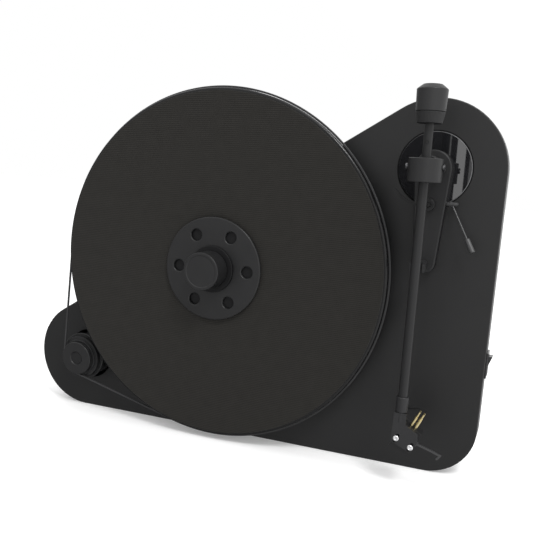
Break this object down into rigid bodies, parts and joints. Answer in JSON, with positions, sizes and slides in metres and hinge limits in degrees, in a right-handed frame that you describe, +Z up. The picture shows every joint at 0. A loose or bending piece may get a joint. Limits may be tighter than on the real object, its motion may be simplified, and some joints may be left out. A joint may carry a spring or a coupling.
{
  "type": "vertical turntable record player",
  "caption": "Wall-hung belt-drive turntable with a round-cornered plinth, felt-topped platter, screw-down record clamp and straight tonearm.",
  "frame": {"origin": "on the wall plane, straight behind the platter spindle", "axes": "+X to the right seen from the front, +Y from the front towards the wall, +Z up"},
  "size_m": [0.4363, 0.113, 0.3075],
  "materials": {
    "anodised_black": "black anodised, turned",
    "arm_tube_black": "satin black anodised tube",
    "belt_rubber": "ground rubber belt",
    "black_metal": "satin black paint",
    "black_screws": "blackened steel",
    "bronze": "sintered bronze",
    "cartridge_plastic": "moulded black plastic",
    "circuit_board": "solder mask",
    "cover_steel": "fine textured black powder coat",
    "felt_mat": "dark grey felt",
    "gloss_black_disc": "mirror-gloss black",
    "gloss_plastic_black": "glossy black plastic",
    "gold_plate": "gold plated",
    "hanger_steel": "dark grey zinc",
    "headshell_black": "satin black",
    "lead_wire": "insulated lead",
    "matte_plastic_black": "moulded black plastic",
    "motor_steel": "plated steel",
    "polished_steel": "polished",
    "rubber_black": "moulded rubber",
    "satin_platter": "satin black lacquered platter rim",
    "satin_plinth": "satin black lacquer on fibreboard",
    "socket_insulator": "moulded insulator",
    "turned_aluminium": "turned",
    "weight_black": "satin black paint"
  },
  "bodies": {
    "deck": {"plinth": "satin_plinth", "rear_cover": "cover_steel", "rear_screws": "black_screws", "hanger_plate": "hanger_steel", "wall_bumpers": "rubber_black", "bearing_housing": "turned_aluminium", "front_screws": "black_screws", "bearing_bush": "bronze", "thrust_ball": "polished_steel", "motor_can": "motor_steel", "motor_plate": "black_metal", "motor_grommets": "rubber_black", "drive_belt": "belt_rubber", "terminal_plate": "black_metal", "rca_sockets": "gold_plate", "rca_inserts": "socket_insulator", "ground_terminal": "gold_plate", "dc_socket": "matte_plastic_black", "control_board": "circuit_board", "switch_bezel": "gloss_plastic_black", "arm_base_disc": "gloss_black_disc", "arm_base_plate": "black_metal", "arm_pillar": "black_metal", "pillar_nut": "polished_steel", "swing_bearings": "polished_steel", "armrest": "matte_plastic_black", "lift_housing": "black_metal", "lever_bush": "black_metal"},
    "platter_unit": {"platter": "satin_platter", "platter_mat": "felt_mat", "platter_hub": "turned_aluminium", "hub_screws": "black_screws", "platter_axle": "polished_steel"},
    "clamp_unit": {"clamp_disc": "anodised_black", "clamp_pad": "felt_mat", "clamp_knob": "anodised_black"},
    "pulley_unit": {"pulley": "anodised_black", "motor_shaft": "polished_steel"},
    "switch_unit": {"switch_rocker": "gloss_plastic_black"},
    "yoke_unit": {"arm_yoke": "anodised_black", "swing_shaft": "polished_steel", "pivot_screws": "polished_steel"},
    "arm_unit": {"arm_sleeve": "black_metal", "arm_tube": "arm_tube_black", "rear_stub": "arm_tube_black", "collar": "matte_plastic_black", "headshell": "headshell_black", "cartridge": "cartridge_plastic", "cartridge_screws": "polished_steel", "lead_clips": "gold_plate", "lead_wires": "lead_wire", "finger_lift": "black_metal"},
    "stylus_unit": {"stylus_block": "cartridge_plastic", "stylus": "polished_steel"},
    "weight_unit": {"counterweight": "weight_black", "weight_dial": "matte_plastic_black"},
    "lever_unit": {"lever_shaft": "black_metal", "lever_rod": "black_metal", "lever_grip": "rubber_black"},
    "lift_unit": {"lift_bar": "matte_plastic_black"}
  },
  "joints": [
    {"name": "platter_spin", "type": "hinge", "parent": "deck", "child": "platter_unit", "pos_m": [0, -0.054, 0], "axis": [0, 1, 0], "continuous": true},
    {"name": "clamp_lift_off", "type": "slide", "parent": "platter_unit", "child": "clamp_unit", "axis": [0, -1, 0], "range_m": [0, 0.014]},
    {"name": "pulley_spin", "type": "hinge", "parent": "deck", "child": "pulley_unit", "pos_m": [-0.1448, -0.0645, -0.1026], "axis": [0, 1, 0], "continuous": true},
    {"name": "arm_swing", "type": "hinge", "parent": "deck", "child": "yoke_unit", "pos_m": [0.1746, -0.1004, 0.0938], "axis": [0, 1, 0], "range_deg": [0, 47]},
    {"name": "arm_tilt", "type": "hinge", "parent": "yoke_unit", "child": "arm_unit", "pos_m": [0.1746, -0.1004, 0.0938], "axis": [1, 0, 0], "range_deg": [0, 1.6]},
    {"name": "lever_turn", "type": "hinge", "parent": "deck", "child": "lever_unit", "pos_m": [0.18375, -0.059, 0.0675], "axis": [1, 0, 0], "range_deg": [-56.5, 0]},
    {"name": "lift_travel", "type": "slide", "parent": "deck", "child": "lift_unit", "axis": [0, 1, 0], "range_m": [0, 0.000791]},
    {"name": "weight_travel", "type": "slide", "parent": "arm_unit", "child": "weight_unit", "axis": [0, 0, 1], "range_m": [-0.005, 0.006]},
    {"name": "stylus_pull", "type": "slide", "parent": "arm_unit", "child": "stylus_unit", "axis": [-0.4337, 0, -0.9011], "range_m": [0, 0.012]},
    {"name": "switch_rock", "type": "hinge", "parent": "deck", "child": "switch_unit", "pos_m": [0.2296, -0.043, -0.059], "axis": [0, 1, 0], "range_deg": [-20, 0]}
  ],
  "couplings": [
    {"joint": "pulley_spin", "follows": "platter_spin", "ratio": 9.6518},
    {"joint": "lever_turn", "follows": "arm_tilt", "ratio": -35},
    {"joint": "lift_travel", "follows": "arm_tilt", "m_per_rad": 0.0276}
  ]
}
